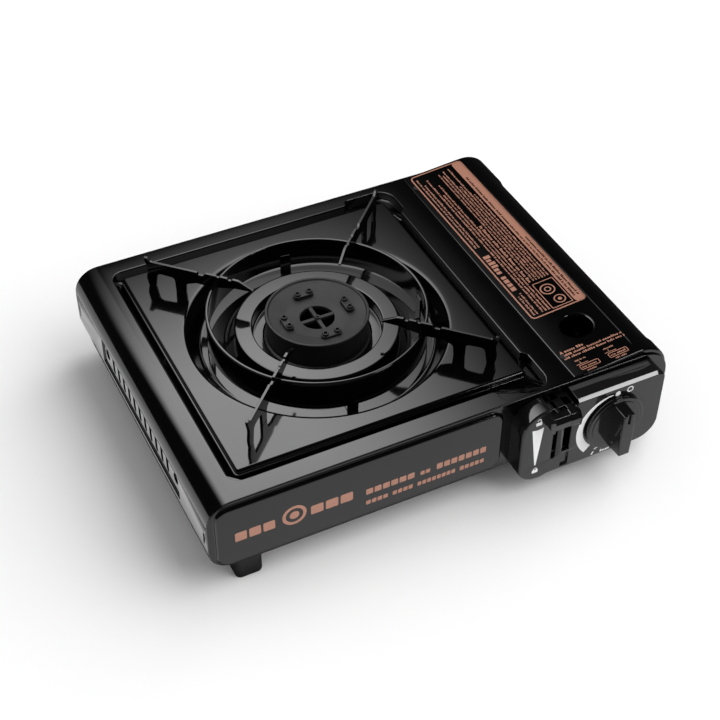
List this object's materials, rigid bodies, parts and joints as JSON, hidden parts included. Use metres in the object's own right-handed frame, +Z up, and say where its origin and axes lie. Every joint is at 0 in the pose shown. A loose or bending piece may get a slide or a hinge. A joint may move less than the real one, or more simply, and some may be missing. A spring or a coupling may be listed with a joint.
{
  "type": "camping stove",
  "caption": "Portable camping stove: black pressed-steel case, round burner, drip pan with wind-break ring and support arms, hinged canister cover, gas knob and fuel lock lever.",
  "frame": {"origin": "middle of the footprint, at the level the feet stand on", "axes": "+X along the front towards the canister bay, +Y to the back, +Z up"},
  "size_m": [0.344, 0.286, 0.103],
  "materials": {
    "black_enamel": "gloss",
    "pan_enamel": "high gloss",
    "burner_iron": "matt",
    "zinc_steel": "satin",
    "aluminium": "cast",
    "brass": "satin",
    "satin_plastic": "satin",
    "ceramic": "glazed",
    "rubber": "matt",
    "copper_print": "satin",
    "white_print": "satin"
  },
  "bodies": {
    "casing": {"casing_wrap": "black_enamel", "front_panel": "black_enamel", "rear_panel": "black_enamel", "base_plate": "black_enamel", "bay_tray": "black_enamel", "partition_wall": "zinc_steel", "feet": "satin_plastic", "base_screws": "zinc_steel", "lid_hinge_pins": "zinc_steel", "burner_head": "burner_iron", "flame_ports": "burner_iron", "burner_pin": "zinc_steel", "burner_base": "burner_iron", "mixing_tube": "zinc_steel", "gas_jet": "brass", "burner_bracket": "zinc_steel", "heat_plate": "aluminium", "igniter_electrode": "zinc_steel", "igniter_ceramic": "ceramic", "piezo_igniter": "satin_plastic", "control_panel": "satin_plastic", "panel_screws": "zinc_steel", "regulator_body": "aluminium", "canister_socket": "brass", "carriage_rails": "zinc_steel", "hose_grommet": "rubber"},
    "lid": {"lid": "black_enamel", "lid_bumpers": "rubber"},
    "pan_support": {"drip_pan": "pan_enamel", "windbreak_ring": "pan_enamel", "support_arm_1": "pan_enamel", "support_arm_2": "pan_enamel", "support_arm_3": "pan_enamel", "support_arm_4": "pan_enamel"},
    "knob": {"control_knob": "satin_plastic", "valve_shaft": "brass"},
    "lever": {"fuel_lock_lever": "satin_plastic"},
    "carriage": {"canister_carriage": "zinc_steel"}
  },
  "joints": [
    {"name": "lid_hinge", "type": "hinge", "parent": "casing", "child": "lid", "pos_m": [0.1682, 0, 0.044], "axis": [0, 1, 0], "range_deg": [0, 95]},
    {"name": "pan_lift", "type": "slide", "parent": "casing", "child": "pan_support", "axis": [0, 0, 1], "range_m": [0, 0.06]},
    {"name": "knob_turn", "type": "hinge", "parent": "casing", "child": "knob", "pos_m": [0.1203, -0.12, 0.0428], "axis": [0, -1, 0], "range_deg": [0, 150]},
    {"name": "lever_slide", "type": "slide", "parent": "casing", "child": "lever", "axis": [0, 0, -1], "range_m": [0, 0.03]},
    {"name": "carriage_slide", "type": "slide", "parent": "casing", "child": "carriage", "axis": [0, -1, 0], "range_m": [0, 0.008]}
  ],
  "couplings": [
    {"joint": "carriage_slide", "follows": "lever_slide", "ratio": 0.2666}
  ]
}
